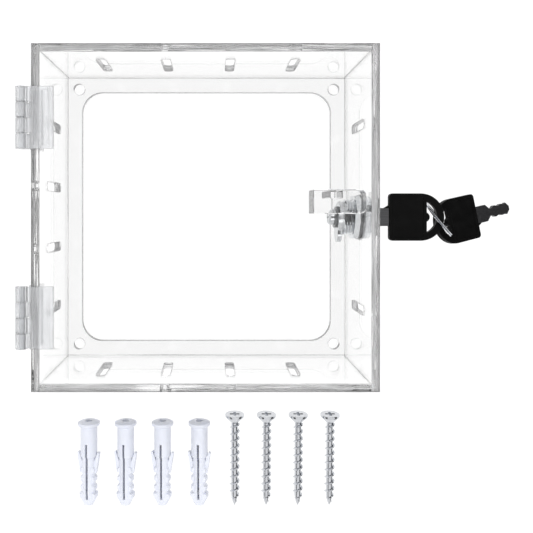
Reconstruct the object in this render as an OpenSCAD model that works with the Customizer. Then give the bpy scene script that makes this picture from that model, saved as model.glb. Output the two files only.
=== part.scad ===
// Clear acrylic lock box that covers a control on a wall.
// The box lies on its back: z = 0 is the wall plane, the door faces +Z, +Y is up the wall,
// the hinges are on the -X side and the lock is on the +X side. All sizes are millimetres.

/* [Box] */
// Outside width of the box, from the hinge side to the lock side
box_w = 140; // [132:1:170]
// Outside height of the box
box_h = 140; // [132:1:170]
// Depth of the box, from the wall to the outer face of the door
box_d = 56; // [55:1:66]
// Thickness of the acrylic sheet
sheet_t = 3; // [2.5:0.5:4]
// Width of the rim round the opening in the back
rim_w = 7; // [6:0.5:10]
// Radius of the corners of the opening in the back
opening_r = 10; // [8:1:14]

/* [Vent slots] */
// Width of a vent slot
slot_w = 4; // [3:0.5:5]
// Length of a vent slot
slot_len = 23; // [16:1:30]
// Spacing of the slots in the top and bottom walls
slot_pitch_x = 27.8; // [24:0.2:30]
// Spacing of the slots in the side walls
slot_pitch_y = 26.7; // [24:0.1:28]
// Distance that the top and bottom rows sit toward the hinges
slot_shift = 3.3; // [0:0.1:6]

/* [Wall mounting] */
// Diameter of a mounting hole
mount_hole_d = 5.3; // [5.2:0.1:5.6]
// Distance from the inner face of a wall to the centre of a mounting hole
mount_inset = 5.5; // [4.5:0.1:6]
// Diameter of a mounting screw over its thread
screw_d = 5; // [4.2:0.1:5]
// Diameter of a mounting screw's head
screw_head_d = 9.2; // [8:0.1:9.6]
// Length of a mounting screw
screw_len = 45; // [34:1:50]
// Pitch of a mounting screw's thread
screw_lead = 3.5; // [2.6:0.1:4]
// Spacing of the screws laid out beside the box
screw_pitch = 15.3; // [12:0.1:18]
// Diameter of a wall plug
plug_body_d = 8; // [7:0.1:8.4]
// Length of a wall plug
plug_body_len = 40; // [34:1:44]
// Spacing of the wall plugs laid out beside the box
plug_pitch = 17.7; // [15:0.1:20]
// Distance from the box to the heads of the screws
kit_gap = 25; // [20:1:40]

/* [Hinges] */
// Length of a hinge
hinge_len = 25; // [20:1:32]
// Distance from the end of the wall to the middle of a hinge
hinge_inset = 30; // [22:1:40]
// Diameter of the hinge knuckles
knuckle_d = 5; // [4.6:0.1:6]
// Gap between the knuckles and the side of the box
knuckle_gap = 1.1; // [1.1:0.1:1.4]
// Diameter of a hinge pin
hinge_pin_d = 2; // [1.6:0.1:2.4]
// Thickness of a hinge leaf
leaf_t = 1.5; // [1.2:0.1:1.6]
// Width of the leaf on the door, from the edge of the door
door_leaf_w = 9.3; // [7:0.1:14]
// Depth of the leaf on the wall, below the door
wall_leaf_h = 10; // [7:0.5:16]

/* [Lock] */
// Distance from the inner face of the door to the lock's axis
lock_z = 25; // [24.5:0.5:26]
// Diameter of the lock barrel over its thread
barrel_d = 15.5; // [15.2:0.1:15.8]
// Width of the lock barrel across its two flats
barrel_flat = 13.6; // [13:0.1:14.4]
// Length of the lock barrel behind its head
barrel_len = 10.8; // [10:0.1:11.6]
// Pitch of the thread on the lock barrel
thread_pitch = 1.2; // [1:0.1:1.5]
// Diameter of the lock's head
head_d = 19; // [17.5:0.1:22]
// Thickness of the lock's head
head_t = 3.9; // [3:0.1:5]
// Thickness of the washer under the lock's head
head_washer_t = 0.8; // [0.5:0.1:1.2]
// Thickness of the washer under the lock's nut
nut_washer_t = 0.6; // [0.4:0.1:0.8]
// Width of the lock's nut across its flats
nut_flat = 18.6; // [17.6:0.1:19]
// Thickness of the lock's nut
nut_t = 2.4; // [2:0.1:2.8]
// Diameter of the turning plug in the lock
plug_d = 11.2; // [10.8:0.1:11.4]
// Diameter of the plug's face
plug_face_d = 13.4; // [12.6:0.1:14]
// Number of wafers in the plug
wafer_count = 5; // [3:1:5]
// Length of the cam from the lock's axis to its tip
cam_reach = 11; // [10.5:0.1:11.5]
// Width of the cam's tongue
cam_w = 8; // [7:0.1:8.4]
// Thickness of the cam
cam_t = 2; // [1.6:0.1:2.2]
// Radius of the cam's hub
cam_hub_r = 6.8; // [6.4:0.1:7]

/* [Strike] */
// Length of the strike block along the door
strike_len = 21.5; // [16:0.5:24]
// Width of the strike block across the door
strike_w = 9.9; // [8:0.1:12]
// Width of the hook that reaches down from the strike block
hook_w = 3.2; // [3:0.1:4]
// Thickness of the hook's toe under the cam
toe_t = 4; // [3:0.1:5]

/* [Keys] */
// Length of a key's plastic bow
bow_len = 24.4; // [22:0.1:28]
// Width of a key's plastic bow
bow_w = 21; // [20:0.1:22]
// Thickness of a key's plastic bow
bow_t = 2.6; // [2.4:0.1:2.8]
// Width of the plastic band round the hole in the bow
bow_band = 3.1; // [2.8:0.1:3.3]
// Width of a key's shank, outside the lock
shank_w = 8; // [7:0.1:9]
// Length of a key's shank, outside the lock
shank_len = 6.3; // [5:0.1:8]
// Width of a key's blade, inside the lock
blade_w = 5.8; // [5.2:0.1:6]
// Thickness of a key's blade
blade_t = 1.8; // [1.5:0.1:2]
// Diameter of the key ring to the middle of its wire
ring_d = 18.2; // [17.8:0.1:18.6]
// Diameter of the key ring's wire
ring_wire_d = 1.6; // [1.2:0.1:1.8]

/* [Hidden] */
$fn = 48;

// Radial clearance of a pin or plug that turns in its bore
run_gap = 0.05;
// Gap between flat parts that move past each other
move_gap = 0.3;
// Extra depth of a cutter past the face it opens
over = 1;

clear_tint = [0.86, 0.89, 0.91, 0.45];
wall_h = box_d - sheet_t;
inner_w = box_w - 2 * sheet_t;
inner_h = box_h - 2 * sheet_t;
mount_x = inner_w / 2 - mount_inset;
mount_y = inner_h / 2 - mount_inset;

// Hinges
knuckle_r = knuckle_d / 2;
knuckles = 4;
knuckle_len = hinge_len / knuckles;
hinge_x = -(box_w / 2 + knuckle_r + knuckle_gap);
hinge_z = box_d;
hinge_y = box_h / 2 - hinge_inset;

// Lock, along X from the wall outward
axis_z = wall_h - lock_z;
lock_face_x = box_w / 2 + head_washer_t + head_t;
barrel_end_x = box_w / 2 + head_washer_t - barrel_len;
stop_washer_t = 0.5;
cam_x = barrel_end_x - stop_washer_t - cam_t;
cam_washer_t = 1;
cam_screw_x = cam_x - cam_washer_t;
cam_screw_d = 3;
cam_screw_head_d = 7;
cam_screw_head_t = 2.6;
stub_flat = 6.4;
stub_short = 0.2;
plug_face_t = 1.2;
groove_w = 7.4;
groove_r = plug_d / 2 + 0.9;

// Key, along -X from the shoulder of the bow
key_stop_gap = 0.1;
key_tip_gap = 0.3;
key_gap = 0.15;
key_x = lock_face_x + key_stop_gap + shank_len;
blade_end_x = barrel_end_x + key_tip_gap;
blade_len = key_x - shank_len - blade_end_x;
neck_w = 3.4;
tang_len = 12;
tang_w = 5;
bow_corner_r = 1.6;
bow_mid = bow_len - bow_w / 2;
hole_r = bow_w / 2 - bow_band;
hole_x = bow_mid + 2.8;
hole_mid = (hole_x + bow_mid + hole_r) / 2;

// Wafers
wafer_t = 1;
wafer_w = 7;
wafer_first_x = lock_face_x - 3.2;
wafer_last_x = barrel_end_x + 3;
wafer_pitch = (wafer_first_x - wafer_last_x) / (wafer_count - 1);
wafer_x = [for (i = [0:wafer_count - 1]) wafer_first_x - i * wafer_pitch];
bit_depth = [1.1, 0.2, 0.7, 0.2, 0.6];
spring_z = 2.8;
spring_d = 1.1;
spring_len = 2.6;

// Key ring: its plane leans and is turned, and its wire passes both bows' holes
ring_r = ring_d / 2;
ring_lean = 23.5;
ring_turn = -53;
ring_key_angle = 124.5;
ring_spare_angle = 296;
ring_key_pass = [hole_x + 1.6, 3.3, 0];
ring_spare_pass = [-0.1, -1.1];
ring_u = [cos(ring_lean) * cos(ring_turn), sin(ring_turn), sin(ring_lean) * cos(ring_turn)];
ring_up = [-sin(ring_lean), 0, cos(ring_lean)];
ring_c = [key_x, 0, axis_z] + ring_key_pass
    - ring_r * (cos(ring_key_angle) * ring_u + sin(ring_key_angle) * ring_up);
spare_pass = ring_c + ring_r * (cos(ring_spare_angle) * ring_u + sin(ring_spare_angle) * ring_up);
spare_turn = 11.4;
spare_reach = hole_mid + shank_len + blade_len;
spare_tip_z = 1.2;
spare_hang = 24;
spare_tilt = min(spare_hang, asin((spare_pass[2] - spare_tip_z) / spare_reach));

// Strike block on the inside of the door
strike_gap = 2;
strike_z = axis_z + cam_reach + strike_gap;
strike_x = inner_w / 2 - 2;
strike_y = 11.4;
hook_x = cam_x - 0.75;
hook_len = 4.75;
toe_x = cam_x + cam_t + 0.5;
toe_z = axis_z - cam_w / 2 - 0.5;

// Screws and plugs laid out below the box
kit_y = -(box_h / 2 + kit_gap);
screw_kit_x = 13.6;
plug_kit_x = -56.5;
kit_count = 4;
screw_rim_h = 1.1;
plug_flange_r = 0.65 * plug_body_d;
plug_turn = 10;
plug_y = kit_y - 3;

// Moves its children from the lock's axis at x to the box, with their axis along +X
module on_lock(x) {
    translate([x, 0, axis_z]) rotate([90, 0, 90]) children();
}

// A disc on the lock's axis, from x, with thickness t and an optional round hole
module lock_disc(x, t, d, bore = 0) {
    on_lock(x) difference() {
        cylinder(d = d, h = t);
        if (bore > 0) translate([0, 0, -over]) cylinder(d = bore, h = t + 2 * over);
    }
}

// A circle with two flats, level with the back of the box
module flatted(d, flat) {
    intersection() {
        circle(d = d);
        square([2 * d, flat], center = true);
    }
}

// One vent slot, as a flat shape that is long in Y
module slot_shape() {
    reach = slot_len / 2 - slot_w / 2;
    square([slot_w, 2 * reach], center = true);
    for (side = [-1, 1]) translate([0, side * reach]) circle(d = slot_w);
}

// A rectangle with rounded corners
module round_rect(w, h, r) {
    square([w - 2 * r, h], center = true);
    square([w, h - 2 * r], center = true);
    for (sx = [-1, 1], sy = [-1, 1])
        translate([sx * (w / 2 - r), sy * (h / 2 - r)]) circle(r = r);
}

// A side wall between x and x + sheet_t, with vent slots at the heights in slots
module side_wall(x, slots) {
    difference() {
        translate([x, -box_h / 2, 0]) cube([sheet_t, box_h, wall_h]);
        for (y = slots)
            translate([x - over, y, box_d / 2]) rotate([90, 0, 90])
                linear_extrude(sheet_t + 2 * over) slot_shape();
    }
}

// The wall above or below, with its row of vent slots
module end_wall(side) {
    difference() {
        translate([-inner_w / 2, side > 0 ? inner_h / 2 : -box_h / 2, 0])
            cube([inner_w, sheet_t, wall_h]);
        for (i = [-1.5:1.5])
            translate([i * slot_pitch_x - slot_shift, side * (box_h - sheet_t) / 2, box_d / 2])
                rotate([90, 0, 0])
                    linear_extrude(sheet_t + 2 * over, center = true) slot_shape();
    }
}

module back_flange() {
    color(clear_tint) difference() {
        translate([-inner_w / 2, -inner_h / 2, 0]) cube([inner_w, inner_h, sheet_t]);
        translate([0, 0, -over]) linear_extrude(sheet_t + 2 * over)
            round_rect(inner_w - 2 * rim_w, inner_h - 2 * rim_w, opening_r);
        for (sx = [-1, 1], sy = [-1, 1])
            translate([sx * mount_x, sy * mount_y, -over])
                cylinder(d = mount_hole_d, h = sheet_t + 2 * over);
    }
}

module left_wall() {
    color(clear_tint) side_wall(-box_w / 2, [for (i = [-1.5:1.5]) i * slot_pitch_y]);
}

module right_wall() {
    hole_gap = 0.4;
    color(clear_tint) difference() {
        side_wall(inner_w / 2, [for (i = [-1.5, 1.5]) i * slot_pitch_y]);
        on_lock(inner_w / 2 - over) linear_extrude(sheet_t + 2 * over)
            flatted(barrel_d + hole_gap, barrel_flat + hole_gap);
    }
}

module top_wall() {
    color(clear_tint) end_wall(1);
}

module bottom_wall() {
    color(clear_tint) end_wall(-1);
}

module door_panel() {
    color(clear_tint) translate([-box_w / 2, -box_h / 2, wall_h]) cube([box_w, box_h, sheet_t]);
}

// The strike is one block under the door, with a hook that reaches down past the cam
// and turns under the cam's tongue when the lock is shut
module strike_block() {
    corner_r = 2.5;
    leg_y = strike_y - hook_w;
    color(clear_tint) {
        translate([strike_x - strike_len, strike_y - strike_w, strike_z])
            linear_extrude(wall_h - strike_z) {
                square([strike_len - corner_r, strike_w]);
                translate([0, corner_r]) square([strike_len, strike_w - 2 * corner_r]);
                for (y = [corner_r, strike_w - corner_r])
                    translate([strike_len - corner_r, y]) circle(r = corner_r);
            }
        translate([hook_x - hook_len, leg_y, toe_z - toe_t])
            cube([hook_len, hook_w, strike_z - toe_z + toe_t]);
        translate([hook_x - hook_len, leg_y, toe_z - toe_t])
            cube([toe_x - hook_x + hook_len, hook_w, toe_t]);
    }
}

// Knuckle number i of a hinge, counted up the wall, with a gap to its neighbours
module knuckle(i) {
    start = i == 0 ? 0 : move_gap / 2;
    end = i == knuckles - 1 ? 0 : move_gap / 2;
    translate([hinge_x, -hinge_len / 2 + i * knuckle_len + start, hinge_z]) rotate([-90, 0, 0])
        cylinder(r = knuckle_r, h = knuckle_len - start - end);
}

// A box as long as knuckle number i, from x to x2 and from z to z2
module knuckle_box(i, x, x2, z, z2) {
    start = i == 0 ? 0 : move_gap / 2;
    end = i == knuckles - 1 ? 0 : move_gap / 2;
    translate([x, -hinge_len / 2 + i * knuckle_len + start, z])
        cube([x2 - x, knuckle_len - start - end, z2 - z]);
}

module pin_bore() {
    translate([hinge_x, 0, hinge_z]) rotate([90, 0, 0])
        cylinder(d = hinge_pin_d + 2 * run_gap, h = hinge_len + 2 * over, center = true);
}

// The hinge leaf on the box: a plate on the wall, and every other knuckle. Beside the door
// the plate is drawn back, so that the door's edge turns clear of it
module wall_leaf() {
    side_x = -box_w / 2;
    difference() {
        union() {
            translate([side_x - leaf_t, -hinge_len / 2, wall_h - wall_leaf_h])
                cube([leaf_t, hinge_len, wall_leaf_h]);
            for (i = [0:2:knuckles - 1]) {
                knuckle(i);
                knuckle_box(i, side_x - leaf_t, side_x - move_gap, wall_h - leaf_t, hinge_z);
                knuckle_box(i, hinge_x, side_x - move_gap, hinge_z - knuckle_r, hinge_z);
            }
        }
        pin_bore();
    }
}

// The hinge leaf on the door: a plate on the door's outer face, with a narrow and a wide
// groove along it, and the other knuckles
module door_leaf() {
    side_x = -box_w / 2;
    groove_deep = 0.4;
    groove_end = 1.5;
    grooves = [[0.17, 0.07], [0.53, 0.27]];
    difference() {
        union() {
            translate([side_x, -hinge_len / 2, hinge_z]) cube([door_leaf_w, hinge_len, leaf_t]);
            for (i = [1:2:knuckles - 1]) {
                knuckle(i);
                knuckle_box(i, hinge_x, side_x, hinge_z, hinge_z + leaf_t);
            }
        }
        for (part = grooves)
            translate([
                side_x + part[0] * door_leaf_w, groove_end - hinge_len / 2,
                hinge_z + leaf_t - groove_deep
            ])
                cube([part[1] * door_leaf_w, hinge_len - 2 * groove_end, groove_deep + over]);
        pin_bore();
    }
}

// A hinge pin, as long as the hinge
module hinge_pin() {
    translate([hinge_x, 0, hinge_z]) rotate([90, 0, 0])
        cylinder(d = hinge_pin_d, h = hinge_len, center = true);
}

module upper_hinge_wall_leaf() {
    color("gainsboro") translate([0, hinge_y, 0]) wall_leaf();
}

module lower_hinge_wall_leaf() {
    color("gainsboro") translate([0, -hinge_y, 0]) wall_leaf();
}

module upper_hinge_door_leaf() {
    color("silver") translate([0, hinge_y, 0]) door_leaf();
}

module lower_hinge_door_leaf() {
    color("silver") translate([0, -hinge_y, 0]) door_leaf();
}

module upper_hinge_pin() {
    color("dimgray") translate([0, hinge_y, 0]) hinge_pin();
}

module lower_hinge_pin() {
    color("dimgray") translate([0, -hinge_y, 0]) hinge_pin();
}

// A threaded rod along +Z: saw-tooth rings between the core and the outer diameter
module ringed_rod(d, core_d, pitch, len) {
    turns = floor(len / pitch);
    start = len - turns * pitch;
    rotate_extrude() polygon(concat(
        [[0, 0], [core_d / 2, 0]],
        [for (i = [0:turns - 1], p = [
            [core_d / 2, start + i * pitch],
            [d / 2, start + (i + 0.4) * pitch],
            [d / 2, start + (i + 0.6) * pitch]
        ]) p],
        [[core_d / 2, len], [0, len]]
    ));
}

// The lock's housing: a round head outside and a threaded barrel with two flats
module lock_barrel() {
    chamfer = 0.8;
    thread_depth = 0.7;
    color("silver") on_lock(barrel_end_x) difference() {
        union() {
            intersection() {
                ringed_rod(barrel_d, barrel_d - 2 * thread_depth, thread_pitch, barrel_len);
                linear_extrude(barrel_len) square([2 * barrel_d, barrel_flat], center = true);
            }
            translate([0, 0, barrel_len]) {
                cylinder(d = head_d, h = head_t - chamfer);
                translate([0, 0, head_t - chamfer])
                    cylinder(d1 = head_d, d2 = head_d - 2 * chamfer, h = chamfer);
            }
        }
        translate([0, 0, -over])
            cylinder(d = plug_d + 2 * run_gap, h = barrel_len + head_t + 2 * over);
        translate([0, 0, barrel_len + head_t - plug_face_t - run_gap])
            cylinder(d = plug_face_d + 2 * run_gap, h = plug_face_t + run_gap + over);
        translate([0, 0, -over]) linear_extrude(barrel_len + over) intersection() {
            circle(r = groove_r);
            square([2 * barrel_d, groove_w], center = true);
        }
    }
}

module lock_head_washer() {
    color("lightgray") lock_disc(box_w / 2, head_washer_t, head_d + 1.6, barrel_d + 0.2);
}

module lock_nut_washer() {
    color("lightgray")
        lock_disc(inner_w / 2 - nut_washer_t, nut_washer_t, nut_flat + 1, barrel_d + 0.2);
}

module lock_nut() {
    chamfer = 0.5;
    corner_r = nut_flat / 2 / cos(30);
    color("silver") on_lock(inner_w / 2 - nut_washer_t - nut_t) difference() {
        intersection() {
            rotate([0, 0, 30]) cylinder(r = corner_r, h = nut_t, $fn = 6);
            rotate_extrude() polygon([
                [0, 0], [corner_r - 2 * chamfer, 0], [corner_r, chamfer],
                [corner_r, nut_t - chamfer], [corner_r - 2 * chamfer, nut_t], [0, nut_t]
            ]);
        }
        translate([0, 0, -over]) cylinder(d = barrel_d + 2 * run_gap, h = nut_t + 2 * over);
    }
}

// The slot in the plug that holds one wafer and its spring, as a flat shape
module wafer_slot() {
    side = wafer_w / 2 + 0.1;
    rail = spring_z - spring_d / 2 - 0.15;
    translate([-plug_d, -side]) square([2 * plug_d, side + rail]);
    translate([-spring_len, 0]) square([plug_d + spring_len, side]);
}

// The turning plug, with its keyway, wafer slots and the square stub that drives the cam.
// The keyway opens toward the face, where the key's chamfers come to rest
module lock_plug() {
    keyway_w = blade_w + 2 * key_gap;
    keyway_t = blade_t + 2 * key_gap;
    mouth_w = shank_w + 2 * key_gap;
    mouth_len = (mouth_w - keyway_w) / 2;
    plug_len = lock_face_x - barrel_end_x;
    stub_len = stop_washer_t + cam_t - stub_short;
    color("darkgray") difference() {
        union() {
            lock_disc(barrel_end_x, plug_len - plug_face_t, plug_d);
            lock_disc(lock_face_x - plug_face_t, plug_face_t, plug_face_d);
            on_lock(barrel_end_x - stub_len) translate([-stub_flat / 2, -stub_flat / 2, 0])
                cube([stub_flat, stub_flat, stub_len]);
        }
        on_lock(barrel_end_x) linear_extrude(plug_len + over)
            square([keyway_w, keyway_t], center = true);
        translate([lock_face_x, 0, axis_z]) linear_extrude(keyway_t, center = true) polygon([
            [over, -mouth_w / 2 - over], [over, mouth_w / 2 + over],
            [-mouth_len, keyway_w / 2], [-mouth_len, -keyway_w / 2]
        ]);
        on_lock(barrel_end_x - stub_len - over)
            cylinder(d = cam_screw_d + 2 * run_gap, h = stub_len + over + key_gap);
        for (x = wafer_x)
            on_lock(x - wafer_t / 2 - run_gap) linear_extrude(wafer_t + 2 * run_gap) wafer_slot();
    }
}

// The wafers lie level with the plug's surface, as they do while the key is in
module lock_wafers() {
    rail = spring_z - spring_d / 2 - 0.25;
    window_w = blade_w + 2 * key_gap;
    window_t = blade_t + 2 * key_gap;
    color("goldenrod") for (x = wafer_x)
        on_lock(x - wafer_t / 2) linear_extrude(wafer_t) difference() {
            intersection() {
                circle(d = plug_d - 4 * run_gap);
                union() {
                    translate([-plug_d, -wafer_w / 2]) square([2 * plug_d, wafer_w / 2 + rail]);
                    square([plug_d, wafer_w / 2]);
                }
            }
            square([window_w, window_t], center = true);
        }
}

module wafer_springs() {
    color("gray") for (x = wafer_x)
        translate([x, -spring_len, axis_z + spring_z]) rotate([-90, 0, 0])
            cylinder(d = spring_d * 0.8, h = spring_len);
}

// The plate turns with the plug, and its ear would meet the barrel's stop
module cam_stop_washer() {
    ear = 1.2;
    color("lightgray") on_lock(barrel_end_x - stop_washer_t) linear_extrude(stop_washer_t)
        difference() {
            union() {
                circle(r = cam_hub_r);
                translate([-cam_hub_r - ear, -cam_w / 4]) square([cam_hub_r, cam_w / 2]);
            }
            square(stub_flat + 2 * run_gap, center = true);
        }
}

// The cam, turned down the wall: the lock is open
module lock_cam() {
    tip_r = cam_w / 2;
    color("silver") on_lock(cam_x) linear_extrude(cam_t) difference() {
        union() {
            circle(r = cam_hub_r);
            translate([-(cam_reach - tip_r), 0]) circle(r = tip_r);
            translate([-(cam_reach - tip_r), -tip_r]) square([cam_reach - tip_r, cam_w]);
        }
        square(stub_flat + 2 * run_gap, center = true);
    }
}

module cam_lock_washer() {
    color("lightgray") lock_disc(cam_screw_x, cam_washer_t, 9.4, cam_screw_d + 4 * run_gap);
}

module cam_screw() {
    cross_w = 0.9;
    cross_len = 4;
    cross_deep = 1.3;
    thread_len = barrel_end_x - cam_screw_x;
    color("silver") {
        lock_disc(cam_screw_x, thread_len, cam_screw_d);
        difference() {
            on_lock(cam_screw_x - cam_screw_head_t) rotate_extrude() polygon([
                [0, 0], [cam_screw_head_d / 2 - 0.8, 0], [cam_screw_head_d / 2, 0.9],
                [cam_screw_head_d / 2, cam_screw_head_t], [0, cam_screw_head_t]
            ]);
            for (turn = [0, 90])
                on_lock(cam_screw_x - cam_screw_head_t) rotate([0, 0, turn])
                    translate([-cross_len / 2, -cross_w / 2, -over])
                        cube([cross_len, cross_w, cross_deep + over]);
        }
    }
}

// One edge of the bitted blade, as points at height y: a chamfer from the shank to a narrow
// neck, one cut for each wafer, and the tip
function blade_edge() = let (h = blade_w / 2, flat = 0.45) concat(
    [[0, shank_w / 2], [(neck_w - shank_w) / 2, neck_w / 2]],
    [for (i = [0:wafer_count - 1]) let (
        x = wafer_x[i] - lock_face_x - key_stop_gap,
        y = h - bit_depth[i]
    ) each [[x + flat, y], [x - flat, y]]],
    [[-blade_len + 1.9, h], [-blade_len, 0.9]]
);

// A key's metal: tang in the bow, shank, and the blade with its cuts, along -X
module blade_metal() {
    top = blade_edge();
    low = [for (i = [len(top) - 1:-1:0]) [top[i][0], -top[i][1]]];
    translate([0, 0, -blade_t / 2]) linear_extrude(blade_t) {
        translate([-shank_len, 0]) polygon(concat(top, low));
        translate([-shank_len, -shank_w / 2]) square([shank_len, shank_w]);
        translate([0, -tang_w / 2]) square([tang_len, tang_w]);
    }
}

// The outline of the bow from its shoulder at x = 0, drawn in by inset
module bow_shape(inset = 0) {
    r = bow_w / 2 - inset;
    c = bow_corner_r;
    translate([bow_mid, 0]) circle(r = r);
    translate([inset + c, -r]) square([bow_mid - inset - c, 2 * r]);
    translate([inset, c - r]) square([bow_mid - inset, 2 * (r - c)]);
    for (side = [-1, 1]) translate([inset + c, side * (r - c)]) circle(r = c);
}

// The bow's hole: round at the far end, flat toward the shank, with a small nub
module bow_hole() {
    nub_r = 2.2;
    nub_out = 1.3;
    difference() {
        intersection() {
            translate([bow_mid, 0]) circle(r = hole_r);
            translate([hole_x, -bow_w]) square([bow_w, 2 * bow_w]);
        }
        translate([hole_x + nub_out - nub_r, 0]) circle(r = nub_r);
    }
}

// A key's plastic bow, with a raised rim round a bare field on both faces
module bow_plastic() {
    rim = 1.5;
    field_deep = 0.3;
    field_w = bow_w - 2 * rim;
    field_len = hole_x - 2 * rim;
    lug = 2.2;
    difference() {
        union() {
            translate([0, 0, -bow_t / 2]) linear_extrude(bow_t) difference() {
                bow_shape();
                bow_hole();
            }
            translate([0, 0, -blade_t / 2]) linear_extrude(blade_t) polygon([
                [0, shank_w / 2], [0, shank_w / 2 + 1.3], [-lug, shank_w / 2]
            ]);
        }
        for (side = [-1, 1])
            translate([rim + field_len / 2, 0, side * bow_t / 2])
                linear_extrude(2 * field_deep, center = true) round_rect(field_len, field_w, 1);
        translate([-over, -tang_w / 2, -blade_t / 2]) cube([tang_len + over, tang_w, blade_t]);
    }
}

// Places a key in the lock
module in_lock() {
    translate([key_x, 0, axis_z]) children();
}

// Places a key on the ring, where it hangs until its tip meets the plane that the box lies on
module on_ring() {
    translate(spare_pass) rotate([0, spare_tilt, spare_turn]) rotate([0, 0, 180])
        translate([-hole_mid - ring_spare_pass[0], ring_spare_pass[1], 0]) children();
}

module key_blade() {
    color([0.36, 0.36, 0.37]) in_lock() blade_metal();
}

module key_bow() {
    color([0.09, 0.09, 0.09]) in_lock() bow_plastic();
}

module spare_key_blade() {
    color([0.36, 0.36, 0.37]) on_ring() blade_metal();
}

module spare_key_bow() {
    color([0.09, 0.09, 0.09]) on_ring() bow_plastic();
}

module key_ring() {
    color("silver") translate(ring_c) rotate([0, -ring_lean, 0]) rotate([0, 0, ring_turn])
        rotate([90, 0, 0]) rotate_extrude() translate([ring_r, 0]) circle(d = ring_wire_d);
}

// A countersunk screw along +Z, with its head at z = 0 and its tip at the far end. Its
// thread is drawn as rings with sharp crests, well apart
module wood_screw() {
    core_d = 0.64 * screw_d;
    head_h = screw_rim_h + (screw_head_d - core_d) / 2;
    tip_len = screw_d;
    turns = floor((screw_len - head_h - tip_len) / screw_lead);
    first_z = screw_len - tip_len - (turns - 0.5) * screw_lead;
    root = 0.16 * screw_lead;
    recess_d = 0.5 * screw_head_d;
    cross_w = 0.14 * screw_head_d;
    difference() {
        rotate_extrude() polygon(concat(
            [
                [0, 0], [screw_head_d / 2, 0], [screw_head_d / 2, screw_rim_h],
                [core_d / 2, head_h]
            ],
            [for (i = [0:turns - 1], p = [[core_d / 2, -root], [screw_d / 2, 0], [core_d / 2, root]])
                [p[0], first_z + i * screw_lead + p[1]]],
            [[core_d / 2, screw_len - tip_len], [0.15, screw_len], [0, screw_len]]
        ));
        for (turn = [0, 90])
            rotate([0, 0, turn]) translate([-recess_d / 2, -cross_w / 2, -over])
                cube([recess_d, cross_w, over + cross_w]);
    }
}

// A screw lies on its head's rim and on its thread, so its tip points a little down
module mounting_screws() {
    reach = screw_len - screw_d - screw_lead / 2 - screw_rim_h;
    lean = atan((screw_head_d - screw_d) / 2 / reach);
    lift = screw_head_d / 2 * cos(lean) + screw_rim_h * sin(lean);
    color("silver") for (i = [0:kit_count - 1])
        translate([screw_kit_x + i * screw_pitch, kit_y, lift])
            rotate([90 + lean, 0, 0]) wood_screw();
}

// The outline that turns into a plug's core: domed flange, collar, waist and blunt nose
module plug_core(r, waist_r, collar_len, nose_len) {
    flange_r = plug_flange_r;
    dome = 0.7;
    flange_t = 2.2;
    rotate_extrude() polygon([
        [0, 0], [0.4 * flange_r, 0], [0.8 * flange_r, 0.3 * dome], [flange_r, dome],
        [flange_r, flange_t - 0.4], [r, flange_t + 0.5], [r, collar_len - 0.8],
        [waist_r, collar_len + 0.4], [waist_r, plug_body_len - nose_len],
        [0.55 * r, plug_body_len], [0, plug_body_len]
    ]);
}

// The barbs on both sides of a plug: teeth that slope toward the tip, and a wide nose
module plug_barbs(r, waist_r, first_z, barb_len, nose_len) {
    nose_z = plug_body_len - nose_len;
    thick = 1.5 * waist_r;
    intersection() {
        rotate_extrude() polygon(concat(
            [[0, first_z]],
            [for (i = [0:2], p = [
                [0.85 * waist_r, first_z + i * barb_len],
                [r, first_z + (i + 0.3) * barb_len], [r, first_z + (i + 0.6) * barb_len]
            ]) p],
            [
                [0.85 * waist_r, nose_z], [r + 0.4, nose_z + 0.5], [r + 0.4, nose_z + 0.3 * nose_len],
                [0.55 * r, plug_body_len], [0, plug_body_len]
            ]
        ));
        translate([-2 * r, -thick / 2, 0]) cube([4 * r, thick, plug_body_len]);
    }
}

// A nylon plug along +Z, split along most of its length, with two wings that keep it from turning
module wall_plug() {
    r = plug_body_d / 2;
    waist_r = 0.8 * r;
    collar_len = 0.43 * plug_body_len;
    nose_len = 0.15 * plug_body_len;
    barb_z = 0.53 * plug_body_len;
    barb_len = (plug_body_len - barb_z - nose_len) / 3;
    split_z = 0.26 * plug_body_len;
    split_w = 0.13 * plug_body_d;
    bore_d = 0.42 * plug_body_d;
    wing_t = 0.3 * plug_body_d;
    wing_out = r + 0.9;
    wing_top = 0.37 * plug_body_len;
    difference() {
        union() {
            plug_core(r, waist_r, collar_len, nose_len);
            plug_barbs(r, waist_r, barb_z, barb_len, nose_len);
            for (turn = [0, 180])
                rotate([90, 0, turn]) linear_extrude(wing_t, center = true) polygon([
                    [0.5 * r, 0.6 * plug_body_len], [0.5 * r, 0.56 * plug_body_len],
                    [wing_out - 0.3, wing_top], [wing_out + 0.6, wing_top + 0.4],
                    [r, 0.62 * plug_body_len]
                ]);
        }
        translate([0, 0, -over]) cylinder(d = bore_d, h = plug_body_len - nose_len + over);
        translate([-split_w / 2, -plug_body_d, split_z])
            cube([split_w, 2 * plug_body_d, plug_body_len - nose_len / 2 - split_z]);
    }
}

module wall_plugs() {
    color("white") for (i = [0:kit_count - 1])
        translate([plug_kit_x + i * plug_pitch, plug_y, plug_flange_r])
            rotate([90, 0, 0]) rotate([0, 0, plug_turn]) wall_plug();
}

back_flange();
left_wall();
right_wall();
top_wall();
bottom_wall();
door_panel();
strike_block();
upper_hinge_wall_leaf();
lower_hinge_wall_leaf();
upper_hinge_door_leaf();
lower_hinge_door_leaf();
upper_hinge_pin();
lower_hinge_pin();
lock_barrel();
lock_head_washer();
lock_nut_washer();
lock_nut();
lock_plug();
lock_wafers();
wafer_springs();
cam_stop_washer();
lock_cam();
cam_lock_washer();
cam_screw();
key_blade();
key_bow();
key_ring();
spare_key_blade();
spare_key_bow();
mounting_screws();
wall_plugs();
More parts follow.
